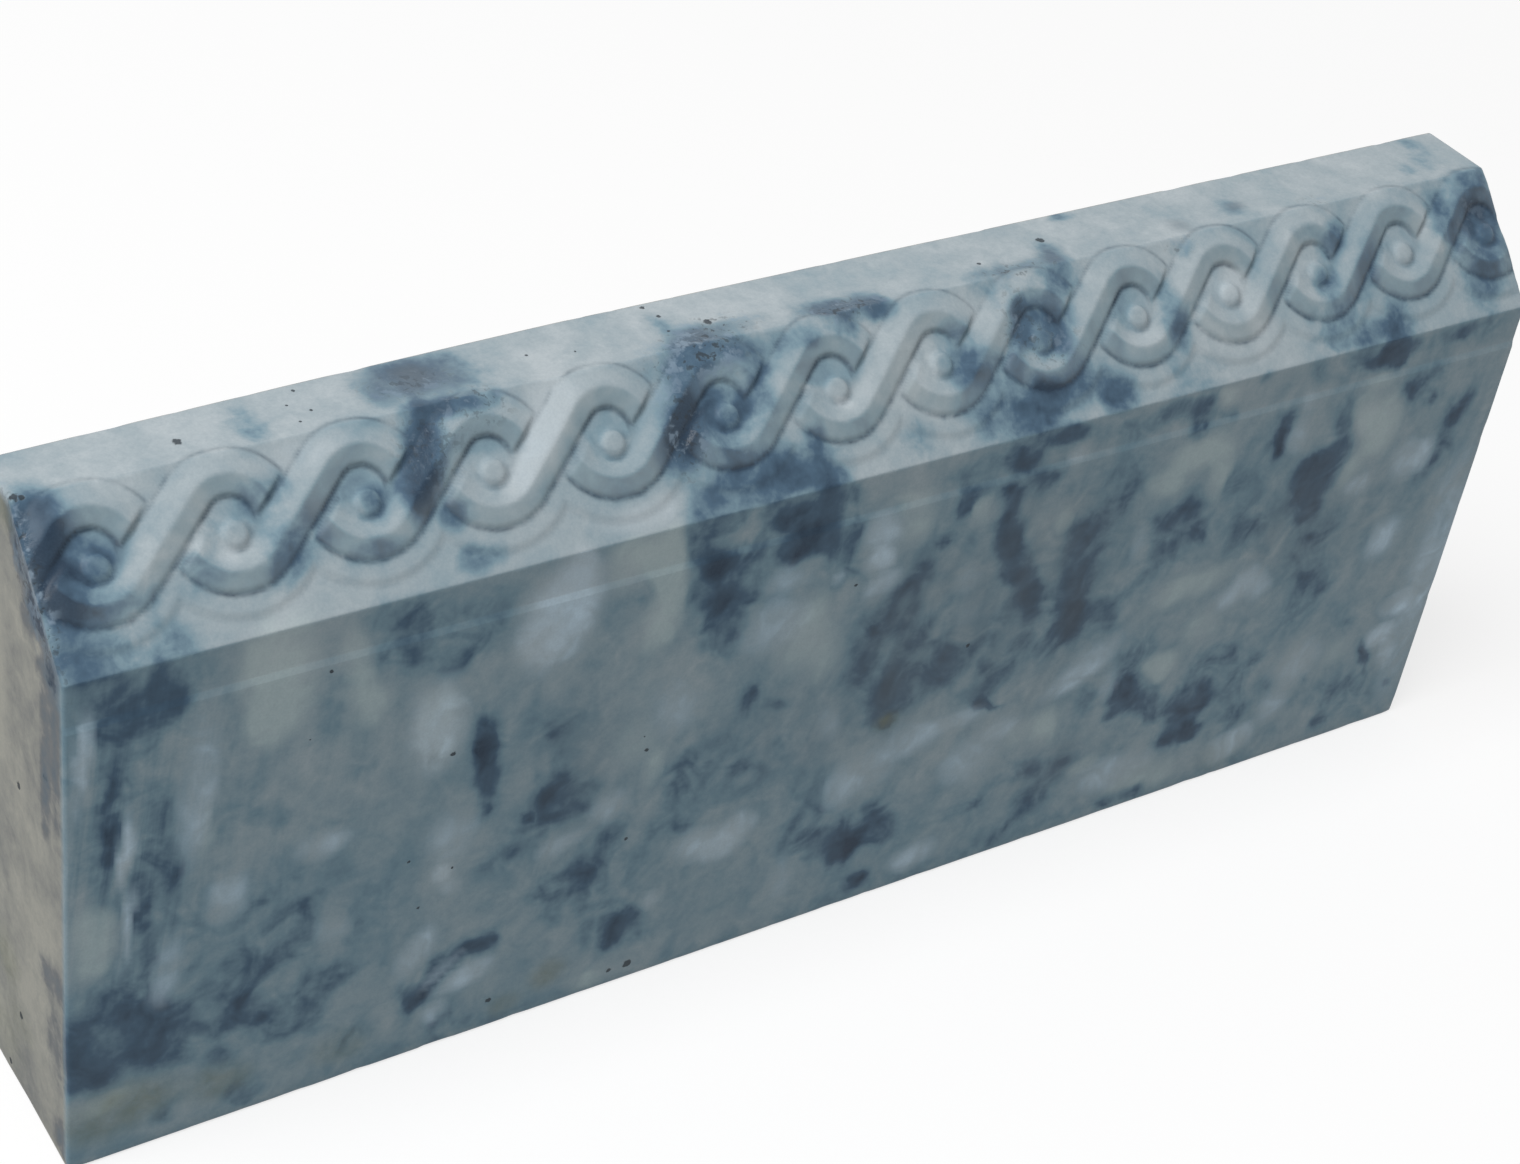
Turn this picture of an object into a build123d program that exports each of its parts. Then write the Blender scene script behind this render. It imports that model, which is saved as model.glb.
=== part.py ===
"""Cast concrete kerb stone with a woven guilloche on its sloping front edge.

One solid in millimetres. +X runs along the kerb, +Y points to its back and +Z up.
The origin is at the middle of the base, which is the face that beds in the ground.
"""

import os
from math import asin, degrees, floor

from build123d import *

# Block
length = 500.0
height = 205.0
thickness = 60.0
slope_run = 34.0
slope_drop = 34.0
arris_radius = 1.5

# Shallow ledge along the front face, under the slope
ledge_drop = 13.0
ledge_depth = 0.5

# Guilloche: each loop is a pitch wide, and the row is cut off wherever the kerb ends
pitch = 36.55
first_button = 16.2
pattern_drop = 18.65

# Strand of two facets that meet in a ridge: a wide one that runs out low, and a narrow one that
# ends in a step
light_width = 6.9
shade_width = 5.8
ridge_crown = 2.4
light_edge = 0.4
shade_edge = 1.3
weave_gap = 0.8

# Button in the eye of each loop, set low, with shares of its radius and its crown
button_radius = 4.2
button_crown = 1.9
button_drop = 3.3
button_top_share = 0.4
button_shoulder_share = 0.78
button_rise_share = 0.62

# Flat scalloped border that follows the loops
border_width = 6.9
border_height = 0.6

# Depth to which the ornament is rooted in the block, and by which a cut runs past what it cuts
root = 3.0
overrun = 1.0

# Places that follow from the sizes above
front = -thickness / 2
left_end = -length / 2
slope_foot = height - slope_drop
ledge_top = slope_foot - ledge_drop
lip = front + ledge_depth
loop_radius = pitch / 2
strand_radius = loop_radius - shade_width
strand_width = light_width + shade_width
crossing_angle = degrees(asin(2 * strand_radius / pitch))
button_count = floor((length - first_button) / pitch) + 1
button_places = [first_button + i * pitch for i in range(-1, button_count)]

# The slope's own plane: X along the kerb, Y up the slope, origin on the pattern's centre line
# at the kerb's left end
slope_direction = Vector(0, slope_run, slope_drop).normalized()
slope_top = Vector(left_end, lip + slope_run, height)
slope_plane = Plane(
    origin=slope_top - slope_direction * pattern_drop,
    x_dir=(1, 0, 0),
    z_dir=Vector(1, 0, 0).cross(slope_direction),
)


# One strand: under its first button, up across the weave and over the next button
with BuildPart() as strand:
    with BuildLine() as strand_path:
        under = CenterArc((0, 0), strand_radius, 90 + crossing_angle, 180)
        over = CenterArc((pitch, 0), strand_radius, 90 + crossing_angle, -180)
        Line(under @ 1, over @ 0)
    strand_start = Plane(origin=under @ 0, x_dir=-(under @ 0), z_dir=under % 0)
    with BuildSketch(strand_start):
        with BuildLine():
            Polyline(
                (light_width, -root),
                (light_width, light_edge),
                (0, ridge_crown),
                (-shade_width, shade_edge),
                (-shade_width, -root),
                close=True,
            )
        make_face()
    sweep(path=strand_path.wire())
    # The strand stops at its neighbour's edges, where it goes under
    neighbour_edge = Pos(Y=-shade_width - weave_gap)
    with BuildSketch(Plane.XY.offset(-root - overrun)):
        with Locations(
            Location((-pitch / 2, 0, 0), (0, 0, crossing_angle)) * neighbour_edge,
            Location((pitch + pitch / 2, 0, 0), (0, 0, crossing_angle)) * neighbour_edge,
        ):
            Rectangle(2 * pitch, strand_width + 2 * weave_gap, align=(Align.CENTER, Align.MIN))
    extrude(amount=root + ridge_crown + 2 * overrun, mode=Mode.SUBTRACT)


# One button: a low dome
with BuildPart() as button:
    with BuildSketch(Plane.XZ):
        with BuildLine():
            Polyline(
                (0, -root),
                (button_radius, -root),
                (button_radius, 0),
                (button_radius * button_shoulder_share, button_crown * button_rise_share),
                (button_radius * button_top_share, button_crown),
                (0, button_crown),
                close=True,
            )
        make_face()
    revolve(axis=Axis.Z)


# The kerb: the block with its ornament, trimmed to the block's own faces
with BuildPart() as kerb_stone:
    with BuildSketch(Plane.YZ.offset(left_end)):
        with BuildLine():
            Polyline(
                (front, 0),
                (-front, 0),
                (-front, height),
                (lip + slope_run, height),
                (lip, slope_foot),
                (lip, ledge_top),
                (front, ledge_top),
                close=True,
            )
        make_face()
        base_corners = vertices().group_by(Axis.Y)[0]
        back_top_corner = vertices().group_by(Axis.X)[-1].sort_by(Axis.Y)[-1]
        fillet([*base_corners, back_top_corner], arris_radius)
    extrude(amount=length)
    with BuildSketch(slope_plane.offset(-root)):
        with Locations(*[(x, 0) for x in button_places]):
            Circle(loop_radius + border_width)
    extrude(amount=root + border_height)
    with Locations(*[slope_plane.location * Pos(X=x) for x in button_places]):
        add(strand.part)
    with Locations(*[slope_plane.location * Pos(X=x, Y=-button_drop) for x in button_places]):
        add(button.part)
    Box(length, thickness, height, align=(Align.CENTER, Align.CENTER, Align.MIN), mode=Mode.INTERSECT)

kerb_stone.part.label = "kerb_stone"
os.makedirs("parts", exist_ok=True)
export_step(kerb_stone.part, "parts/kerb_stone.step")
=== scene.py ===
"""A cast concrete kerb stone with a woven guilloche along its sloping edge, on a studio floor.

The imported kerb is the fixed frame. The stone's skin is laid over it as one closed mesh, Geometry
Nodes raise the guilloche on its slope, and one material gives the marbled concrete.
"""

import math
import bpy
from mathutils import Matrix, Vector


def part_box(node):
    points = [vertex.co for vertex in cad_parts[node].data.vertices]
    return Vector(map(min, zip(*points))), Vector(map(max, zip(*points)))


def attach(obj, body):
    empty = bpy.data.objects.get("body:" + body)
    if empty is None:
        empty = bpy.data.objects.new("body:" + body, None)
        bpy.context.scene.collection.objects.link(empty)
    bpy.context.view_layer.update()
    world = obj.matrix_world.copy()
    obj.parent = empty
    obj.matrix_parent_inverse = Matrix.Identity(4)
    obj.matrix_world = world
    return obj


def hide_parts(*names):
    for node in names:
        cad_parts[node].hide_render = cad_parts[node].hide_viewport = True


bl_info = {
    "name": "Concrete Kerb Stone",
    "version": (1, 0, 0),
    "blender": (4, 5, 0),
    "location": "View3D > Sidebar > Kerb",
    "description": "Casts a marbled concrete kerb stone with a guilloche and sets it on a studio floor",
    "category": "Add Mesh",
}

import bpy
import numpy as np
from bpy.props import FloatProperty, FloatVectorProperty, IntProperty, PointerProperty
from bpy.types import Operator, Panel, PropertyGroup
from mathutils import Matrix, Vector, noise
from mathutils.geometry import delaunay_2d_cdt

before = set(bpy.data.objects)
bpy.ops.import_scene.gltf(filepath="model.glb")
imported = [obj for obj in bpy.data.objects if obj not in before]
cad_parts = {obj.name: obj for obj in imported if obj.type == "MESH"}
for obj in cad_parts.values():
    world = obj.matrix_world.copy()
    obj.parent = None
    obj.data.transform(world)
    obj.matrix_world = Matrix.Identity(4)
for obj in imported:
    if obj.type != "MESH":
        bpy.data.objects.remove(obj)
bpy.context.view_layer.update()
KERB_LOW, KERB_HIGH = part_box("kerb_stone")
MM = 0.001

# Marks on the faces, in millimetres. Each is a soft ellipse: across, down, half its width,
# half its height, strength and, where it leans, its lean in degrees. Across runs from the left end, and on
# that end itself from the back. Down runs from the face's upper edge, and the top's marks count as the
# slope's, above its upper edge.
SLOPE_STAINS = [
    (115, -12.5, 12, 8, 0.8, 20), (103, -11, 6, 7, 0.6), (129, -9, 6, 8, 0.5), (120, -18, 8, 4, 0.5),
    (66, -8, 5, 8, 0.35), (204, -5, 14, 4, 0.85), (195, -1.5, 10, 3, 0.9), (190, -12, 3, 6, 0.4),
    (244, -3.5, 12, 4, 0.85), (254, -1.5, 6, 3, 0.85), (305, -2.5, 12, 3, 0.7), (324, -5, 5, 6, 0.6),
    (398, -8, 4, 4, 0.35), (484, -14, 4, 9, 0.35, 15), (473, -8, 3, 3, 0.3), (340, -23, 5, 2, 0.7),
    (5, 9, 7, 12, 1.0), (6, 27, 6, 14, 0.85), (12, 20, 8, 8, 0.5), (18, 32, 10, 4, 0.4),
    (25, 43, 10, 4, 0.25), (8, 42, 12, 7, 0.75), (62, 14, 6, 6, 0.55, -30), (66, 29, 7, 9, 0.65, 30),
    (45, 25, 5, 10, 0.5, 45), (91.5, 21.5, 4.5, 4.5, 0.5), (105, 20, 5, 10, 0.8, 25),
    (108, 11, 6, 13, 0.9, 22), (121, 1, 11, 3.5, 0.75), (112, 32, 4, 4, 0.5), (117, 44, 6, 3, 0.5),
    (88, 34, 8, 3, 0.35), (184, 22, 7, 14, 0.85, 25), (193, 5, 10, 6, 0.9), (207, 3, 10, 6, 0.95),
    (200, 20, 12, 10, 0.7), (195, 32, 8, 5, 0.4), (205, 38, 12, 5, 0.6), (212, 12, 4, 10, 0.6),
    (191, 43, 11, 7, 0.8), (216, 43, 15, 6, 0.85), (222, 34, 4, 4, 0.5), (228, 4, 8, 5, 0.55),
    (243, 3, 6, 4, 0.6), (258, 42, 6, 5, 0.4), (255, 2, 6, 3, 0.7), (279, 20, 7, 9, 0.65),
    (292, 28, 10, 8, 0.45), (285, 38, 8, 6, 0.4), (304, 14, 6, 11, 0.75, 32), (308, 18, 9, 9, 0.85),
    (305, 38, 8, 5, 0.95), (315, 20, 6, 10, 0.55), (322, 5, 8, 6, 0.6), (298, 43, 15, 6, 0.8),
    (320, 37, 9, 6, 0.65), (329, 42, 7, 6, 0.8), (295, 3, 6, 3, 0.5), (357, 20, 5, 9, 0.7),
    (359, 30, 5, 10, 0.7, 32), (362, 43, 8, 5, 0.6), (369, 4, 5, 3, 0.5), (418, 8, 6, 3, 0.35),
    (427, 12, 5, 5, 0.6, -30), (420, 24, 4, 6, 0.6), (420, 37, 9, 7, 0.65), (425, 44, 14, 5, 0.45),
    (447, 39, 6, 5, 0.4), (445, 44, 8, 4, 0.6), (437, 24, 5, 10, 0.25, 35), (476, 16, 6, 12, 0.6),
    (489, 16, 7, 9, 0.85), (489, 27, 8, 6, 0.6), (484, 37, 10, 8, 0.65), (490, 4, 9, 4, 0.45),
    (497, 20, 3, 20, 0.4),
]
FRONT_STAINS = [
    (22, 9, 14, 11, 0.8), (30, 14, 5, 5, 0.75), (12, 13, 6, 12, 0.5), (20, 27, 9, 13, 0.6),
    (26, 45, 5, 9, 0.6), (13, 46, 4, 16, 0.45), (24, 63, 5, 14, 0.35), (30, 72, 4, 6, 0.25),
    (22, 85, 4, 14, 0.3), (9, 60, 5, 9, 0.35), (24, 102, 3, 12, 0.25), (35, 100, 4, 11, 0.25, 12),
    (47, 59, 8, 7, 0.25), (52, 58, 4, 3, 0.3), (64, 41, 5, 4, 0.25), (63, 64, 4, 3, 0.3),
    (79, 55, 6, 6, 0.35), (75, 67, 4, 5, 0.25), (73, 33, 4, 5, 0.25), (75, 22, 5, 3, 0.35, 20),
    (58, 85, 10, 8, 0.35), (53, 97, 5, 10, 0.25), (66, 103, 7, 9, 0.45), (60, 115, 10, 8, 0.4),
    (90, 98, 6, 6, 0.25), (85, 110, 2, 5, 0.25), (76, 130, 10, 7, 0.65), (51, 131, 12, 7, 0.7),
    (65, 139, 14, 8, 0.4), (30, 130, 10, 9, 0.7), (25, 136, 4, 6, 0.7), (7, 136, 10, 7, 1.0),
    (2, 125, 5, 10, 0.85), (14, 125, 13, 13, 0.75), (10, 112, 12, 9, 0.55), (24, 120, 8, 8, 0.4),
    (34, 143, 6, 3, 0.45, 15), (46, 146, 4, 6, 0.6, -25), (40, 123, 8, 8, 0.3), (28, 160, 4, 5, 0.55),
    (52, 163, 8, 7, 0.7), (85, 156, 7, 6, 0.4), (70, 147, 10, 9, 0.25), (121.5, 66, 4.5, 19, 0.9, -6),
    (122, 74, 4, 9, 0.5), (95, 14, 5, 8, 0.6), (88, 17, 3, 4, 0.45), (97, 20, 4, 3, 0.5),
    (92, 5, 10, 5, 0.45), (112, 8, 9, 6, 0.15), (108, 23, 7, 8, 0.5), (117, 19, 7, 8, 0.15),
    (95, 37, 6, 6, 0.2), (105, 149, 5, 5, 0.8), (109, 145, 9, 5, 0.75, -35), (121, 136, 11, 5, 0.75, -25),
    (128, 136, 5, 3.5, 0.8, -20), (103, 143, 3.5, 5, 0.5, 20), (112, 135, 8, 2.5, 0.5, -35),
    (118, 163, 10, 5, 0.55), (138, 75, 3, 2.5, 0.4), (143, 62, 5, 6, 0.35), (140, 54, 8, 8, 0.3),
    (152, 55, 5, 4, 0.3), (147, 73, 5, 5, 0.5), (147, 86, 8, 9, 0.8), (158, 85, 5, 4, 0.4),
    (145, 96, 5, 4, 0.7), (152, 93, 6, 4, 0.45), (136, 92, 3, 2, 0.55), (128, 104, 6, 5, 0.4),
    (135, 99, 5, 5, 0.3), (154, 122, 12, 9, 0.6), (155, 133, 8, 6, 0.4), (165, 105, 8, 6, 0.4),
    (170, 115, 8, 10, 0.35), (164, 140, 7, 9, 0.5), (174, 148, 8, 8, 0.8, 30), (178, 143, 3, 3, 0.6),
    (183, 152, 5, 6, 0.4), (168, 152, 5, 4, 0.4), (192, 115, 6, 5, 0.4), (207, 98, 4, 2.5, 0.6),
    (200, 95, 14, 10, 0.3), (185, 92, 7, 8, 0.4), (196, 85, 10, 6, 0.35), (208, 72, 4, 7, 0.55, 15),
    (219, 77, 4, 3, 0.65, 40), (235, 115, 14, 12, 0.15), (225, 95, 12, 8, 0.25), (237, 130, 10, 8, 0.25),
    (245, 140, 10, 7, 0.7), (253, 147, 7, 6, 0.95), (240, 137, 5, 5, 0.6), (191, 17, 6, 5, 0.95),
    (196, 30, 8, 9, 0.9), (189, 25, 6, 8, 0.4), (194, 45, 7, 8, 0.8), (189, 38, 5, 8, 0.3),
    (204, 33, 3, 2, 0.6), (201, 42, 4, 4, 0.4), (187, 14, 5, 6, 0.3), (200, 15, 6, 5, 0.6),
    (226, 5, 6, 7, 0.95), (214, 8, 6, 5, 0.75), (220, 16, 9, 7, 0.85), (216, 23, 5, 3, 0.75),
    (228, 18, 5, 8, 0.8), (210, 20, 5, 3, 0.55), (207, 4, 6, 4, 0.4), (237, 20, 4, 14, 0.55),
    (234, 35, 4, 3, 0.55), (241, 34, 2.5, 3, 0.4), (233, 5, 5, 4, 0.5), (190, 3, 9, 4, 0.4),
    (183, 5, 4, 6, 0.4), (155, 24, 4, 6, 0.25), (165, 16, 4, 6, 0.3), (250, 60, 2.5, 2.5, 0.7),
    (247, 71, 5, 10, 0.4), (252, 55, 10, 5, 0.2), (262, 76, 16, 18, 0.3), (258, 84, 5, 6, 0.6),
    (262, 92, 8, 6, 0.5), (270, 62, 12, 10, 0.2), (283, 86, 5, 7, 0.65), (280, 75, 5, 6, 0.5),
    (275, 85, 8, 8, 0.4), (297, 80, 12, 16, 0.25), (300, 96, 14, 6, 0.3), (318, 80, 12, 14, 0.5),
    (330, 84, 4, 4, 0.7), (327, 78, 6, 8, 0.5), (341, 77, 10, 6, 0.5, -15), (347, 82, 4, 3, 0.45),
    (293, 24, 5, 9, 0.8, -20), (301, 46, 6, 20, 0.5, -25), (296, 33, 6, 8, 0.8, -15),
    (299, 45, 5, 8, 0.8, -15), (304, 40, 3, 2, 0.6), (305, 56, 6, 8, 0.7, -20), (309, 64, 4, 6, 0.65, -15),
    (312, 73, 5, 5, 0.45), (328, 50, 8, 14, 0.65), (326, 62, 7, 10, 0.65), (329, 72, 4, 6, 0.7),
    (333, 40, 8, 6, 0.5), (339, 32, 6, 6, 0.4), (322, 45, 5, 8, 0.45), (304, 104, 8, 1.8, 0.9, 10),
    (299, 102, 4, 2, 0.7, 20), (262, 99, 4, 2.5, 0.9), (256, 95, 4, 4, 0.4), (262, 45, 8, 4, 0.5, -10),
    (272, 45, 5, 3, 0.45), (265, 40, 6, 4, 0.4), (271, 31, 3.5, 2.5, 0.75, -20), (276, 17, 4, 5, 0.7),
    (275, 21, 3, 3, 0.5), (272, 9, 6, 4, 0.4), (282, 15, 4, 4, 0.4), (251, 14, 2.5, 2, 0.4),
    (296, 6, 7, 7, 0.75), (298, 10, 4, 3, 0.6), (312, 4, 7, 4, 0.95), (325, 6, 8, 5, 0.5),
    (340, 7, 8, 5, 0.5), (352, 5, 8, 6, 0.7), (363, 6, 6, 6, 0.9), (364, 14, 4, 3.5, 0.65),
    (285, 6, 8, 4, 0.4), (316, 26, 3, 2.5, 0.5), (305, 18, 10, 5, 0.5), (325, 22, 8, 6, 0.4),
    (340, 20, 6, 8, 0.4), (362, 54, 10, 11, 0.75), (361, 50, 4, 3, 0.8), (370, 52, 8, 10, 0.5),
    (375, 57, 4, 5, 0.5), (362, 63, 8, 6, 0.5), (363, 45, 8, 4, 0.5), (357, 71, 8, 7, 0.6),
    (345, 116, 4.5, 6, 0.5), (358, 100, 7, 10, 0.5), (367, 100, 5, 6, 0.5), (358, 112, 6, 9, 0.7),
    (374, 124, 17, 5, 0.5, 32), (362, 122, 7, 6, 0.75), (358, 127, 4, 3, 0.8), (370, 126, 10, 5, 0.7, 15),
    (377, 133, 5, 4, 0.9), (326, 138, 10, 5, 0.75), (335, 142, 9, 5, 0.55, 10), (345, 140, 6, 4, 0.4),
    (320, 141, 8, 4, 0.4), (333, 150, 9, 6, 0.35), (330, 158, 8, 8, 0.3), (305, 145, 10, 7, 0.35),
    (306, 147, 3, 2, 0.4), (320, 163, 6, 4, 0.35), (268, 137, 7, 8, 0.35), (254, 144, 9, 8, 0.6),
    (262, 130, 8, 6, 0.2), (263, 163, 5, 4, 0.6), (270, 145, 7, 6, 0.4), (345, 165, 8, 3, 0.4),
    (365, 166, 6, 3, 0.4), (377, 165, 6, 3, 0.4), (421, 42, 8, 5, 0.95), (424, 50, 8, 8, 0.95),
    (429, 40, 7, 9, 0.8, 10), (422, 58, 8, 10, 0.7, 15), (417, 46, 6, 6, 0.7), (428, 30, 4, 8, 0.55, 10),
    (426, 20, 3, 6, 0.4), (402, 27, 3.5, 8, 0.7, -8), (404, 20, 3, 5, 0.55), (393, 22, 7, 9, 0.25),
    (388, 30, 5, 12, 0.2), (390, 42, 6, 6, 0.2), (395, 58, 14, 9, 0.25), (400, 65, 8, 6, 0.3),
    (376, 12, 3, 2.5, 0.6), (388, 2, 3, 2, 0.5), (445, 4, 7, 6, 1.0), (440, 6, 6, 5, 0.7),
    (447, 9, 4, 2.5, 0.9), (451, 4, 4, 4, 0.8), (425, 6, 8, 5, 0.5), (412, 5, 6, 5, 0.4), (434, 8, 5, 3, 0.5),
    (474, 4, 7, 4, 0.65), (463, 5, 5, 4, 0.4), (484, 9, 5, 3, 0.4), (487, 3, 6, 4, 0.4), (462, 20, 9, 8, 0.6),
    (456, 23, 5, 4, 0.4), (468, 28, 4, 2.5, 0.7), (462, 29, 6, 4, 0.2), (481, 37, 5, 6, 0.6),
    (484, 30, 5, 8, 0.4), (480, 52, 6, 7, 0.5), (474, 58, 6, 6, 0.35), (491, 50, 5, 15, 0.3),
    (492, 82, 4, 8, 0.3), (495, 90, 3, 6, 0.25), (454, 65, 5, 6, 0.45), (455, 82, 5, 6, 0.5),
    (443, 98, 4, 4, 0.6), (437, 92, 7, 7, 0.2), (430, 75, 10, 9, 0.3), (440, 68, 6, 5, 0.35),
    (425, 86, 15, 12, 0.15), (432, 106, 14, 8, 0.3), (423, 122, 4, 4, 0.5), (400, 115, 14, 6, 0.35),
    (391, 115, 4, 5, 0.4), (392, 127, 8, 6, 0.65), (393, 134, 9, 6, 0.75), (393, 145, 9, 6, 0.8),
    (398, 147, 5, 4, 0.6), (385, 147, 4, 3, 0.5), (412, 130, 7, 7, 0.4), (415, 145, 7, 10, 0.35),
    (430, 138, 4, 6, 0.4, -15), (447, 139, 2.5, 1.5, 0.5, 40), (475, 138, 2.5, 10, 0.85, -28),
    (465, 146, 10, 7, 0.3), (462, 151, 8, 6, 0.3), (475, 152, 8, 6, 0.4), (462, 118, 4, 4, 0.45),
    (455, 112, 8, 6, 0.3), (490, 128, 5, 5, 0.2), (492, 138, 4, 5, 0.2), (487, 110, 2, 1.5, 0.5),
    (460, 162, 4, 4, 0.9), (466, 160, 7, 5, 0.5), (480, 160, 7, 4, 0.4), (493, 154, 3, 2.5, 0.6),
    (440, 160, 6, 5, 0.3), (250, 168, 250, 3, 0.25), (290, 68, 48, 32, 0.35), (20, 60, 17, 75, 0.3),
    (58, 112, 40, 20, 0.25), (160, 120, 26, 20, 0.25), (205, 96, 36, 16, 0.25), (400, 55, 18, 18, 0.15),
    (425, 84, 30, 22, 0.2), (248, 140, 26, 15, 0.3), (395, 125, 28, 20, 0.25), (468, 150, 24, 12, 0.15),
    (208, 20, 28, 22, 0.3), (104, 16, 18, 12, 0.25),
]
END_STAINS = [
    (27, 4, 5, 4, 0.75, 45), (33, 12, 9, 4, 0.9, 45), (42, 22, 10, 5, 1.0, 45), (52, 34, 8, 6, 0.9, 45),
    (38, 28, 5, 7, 0.4), (48, 45, 4, 12, 0.4), (47, 72, 3, 20, 0.45), (54, 60, 3, 24, 0.5),
    (49, 140, 7, 6, 0.65), (52, 165, 6, 16, 0.35), (56, 196, 5, 8, 0.4),
]
FRONT_BRUSHED = [(16, 58, 24, 58, 1.0), (58, 60, 26, 50, 0.35), (490, 55, 12, 55, 0.45)]
# Pitted places: rough stone with real bumps and gloss, painted with pale glints as highlights and with dark
# specks
END_PITTED = [(38, 10, 10, 12, 1.0), (46, 24, 12, 6, 0.8, 45)]
SLOPE_PITTED = [
    (196, 4, 15, 6, 1.0), (184, 22, 6, 13, 0.9), (110, 12, 10, 11, 0.6), (1.5, 22, 2.6, 26, 1.0),
    (126, 4, 11, 5, 0.5), (302, 15, 7, 11, 0.6), (312, 24, 9, 9, 0.5), (488, 16, 8, 10, 0.3),
    (205, -6, 13, 5, 0.9), (195, -2, 12, 4, 0.9), (247, -2, 13, 4, 0.9), (112, -10, 13, 6, 0.6),
    (310, -1.5, 14, 3, 0.8), (370, 3, 6, 3, 0.5), (128, -1, 8, 3, 0.6), (427, -2, 5, 3, 0.4),
]
SLOPE_LIGHTS = [
    (48, 26, 4, 3, 0.8), (140, 19, 5, 16, 0.9, 45), (237, 27, 3, 2, 1.0), (148, 8, 10, 6, 0.5, -40),
    (168, 42, 14, 4, 0.5), (75, 6, 12, 5, 0.4), (345, 30, 8, 4, 0.4), (380, 18, 6, 6, 0.5),
]
FRONT_SAND = [
    (58, 12, 10, 14, 0.9), (57, 28, 8, 8, 0.7), (79, 12, 4, 8, 0.5), (80, 25, 5, 8, 0.5, -20),
    (86, 33, 6, 6, 0.5), (105, 45, 7, 14, 0.9), (38, 58, 3, 12, 0.5), (7, 88, 6, 13, 0.9),
    (4, 110, 3, 5, 0.5), (10, 148, 9, 4, 0.5), (135, 30, 6, 6, 0.5), (165, 8, 10, 8, 0.7),
    (175, 18, 5, 15, 0.9), (172, 32, 6, 8, 0.7), (225, 50, 8, 12, 0.7), (233, 62, 6, 10, 0.5),
    (178, 88, 5, 8, 0.5), (170, 75, 6, 8, 0.3), (165, 166, 7, 4, 0.6), (255, 13, 6, 4, 0.6),
    (258, 22, 6, 6, 0.5), (283, 22, 4, 6, 0.5), (316, 37, 4, 6, 0.8), (370, 25, 8, 6, 0.9),
    (360, 24, 6, 5, 0.6), (373, 4, 5, 4, 0.8), (356, 33, 8, 5, 0.5), (379, 33, 4, 12, 0.5),
    (372, 80, 8, 5, 0.6, -20), (375, 112, 6, 5, 0.8), (370, 107, 4, 4, 0.5), (330, 122, 5, 8, 0.7),
    (320, 120, 8, 6, 0.5), (375, 157, 9, 6, 0.6), (350, 145, 6, 4, 0.4), (437, 28, 7, 8, 0.95),
    (446, 34, 8, 12, 0.9), (437, 48, 5, 8, 0.6), (440, 15, 6, 4, 0.5), (386, 78, 10, 5, 0.5),
    (390, 100, 8, 8, 0.5), (378, 112, 6, 6, 0.5), (390, 162, 8, 6, 0.5), (460, 130, 6, 5, 0.3),
]
FRONT_LIGHTS = [
    (36, 45, 4, 22, 0.5, 4), (16, 57, 1.6, 11, 0.9, 4), (17, 87, 1.6, 13, 0.7, 4), (5, 25, 2, 14, 0.9, 4),
    (28, 105, 3.5, 10, 0.5, 8), (45, 85, 5, 8, 0.4, 8), (73, 78, 6, 4, 0.4), (111, 102, 3.5, 3, 1.0),
    (114, 107, 3, 3, 0.5), (77, 110, 5, 5, 0.35), (105, 130, 4, 9, 0.4, 25), (113, 141, 7, 2.4, 0.5, -38),
    (122, 147, 8, 4, 0.55, -20), (112, 158, 4, 4, 0.4), (105, 46, 8, 14, 0.6), (112, 90, 7, 9, 0.35),
    (140, 20, 10, 15, 1.0, 15), (135, 28, 6, 6, 0.7), (145, 8, 4, 8, 0.6), (248, 32, 4, 4, 1.0),
    (247, 22, 5, 6, 0.6), (233, 33, 3, 2, 0.5), (213, 45, 10, 8, 0.4), (215, 30, 7, 4, 0.4),
    (183, 64, 8, 10, 0.4), (163, 95, 6, 5, 0.5, -20), (150, 105, 7, 3, 0.5, -15), (205, 126, 9, 6, 0.75),
    (195, 122, 6, 5, 0.4), (212, 122, 6, 5, 0.5), (184, 140, 3, 3, 0.5), (250, 118, 6, 10, 0.4),
    (240, 90, 4, 6, 0.4, -20), (250, 42, 6, 4, 0.6, -30), (283, 48, 4, 5, 0.4), (285, 62, 4, 6, 0.3),
    (317, 12, 3, 2, 0.5), (352, 55, 3, 6, 0.4), (345, 97, 12, 6, 0.35, -20), (336, 104, 10, 4, 0.5, -15),
    (310, 115, 8, 5, 0.5), (290, 106, 10, 4, 0.5), (275, 108, 10, 6, 0.5), (300, 125, 10, 8, 0.4),
    (353, 112, 3, 6, 0.4), (260, 115, 8, 8, 0.4), (465, 50, 7, 7, 0.55), (472, 50, 4, 6, 0.5),
    (445, 57, 5, 4, 0.6), (405, 85, 6, 6, 0.75), (398, 90, 5, 4, 0.5), (412, 90, 5, 4, 0.5),
    (465, 85, 8, 8, 0.4), (480, 130, 6, 5, 0.85), (494, 105, 9, 45, 0.5), (486, 139, 4, 6, 0.6, -20),
    (484, 117, 8, 4, 0.5), (440, 130, 10, 8, 0.5), (435, 146, 6, 7, 0.4), (416, 160, 7, 5, 0.7),
    (424, 157, 6, 5, 0.6), (410, 28, 4, 6, 0.4), (410, 15, 3, 4, 0.4), (365, 152, 14, 6, 0.55),
    (285, 160, 8, 5, 0.4), (232, 150, 5, 8, 0.3),
]
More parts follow.
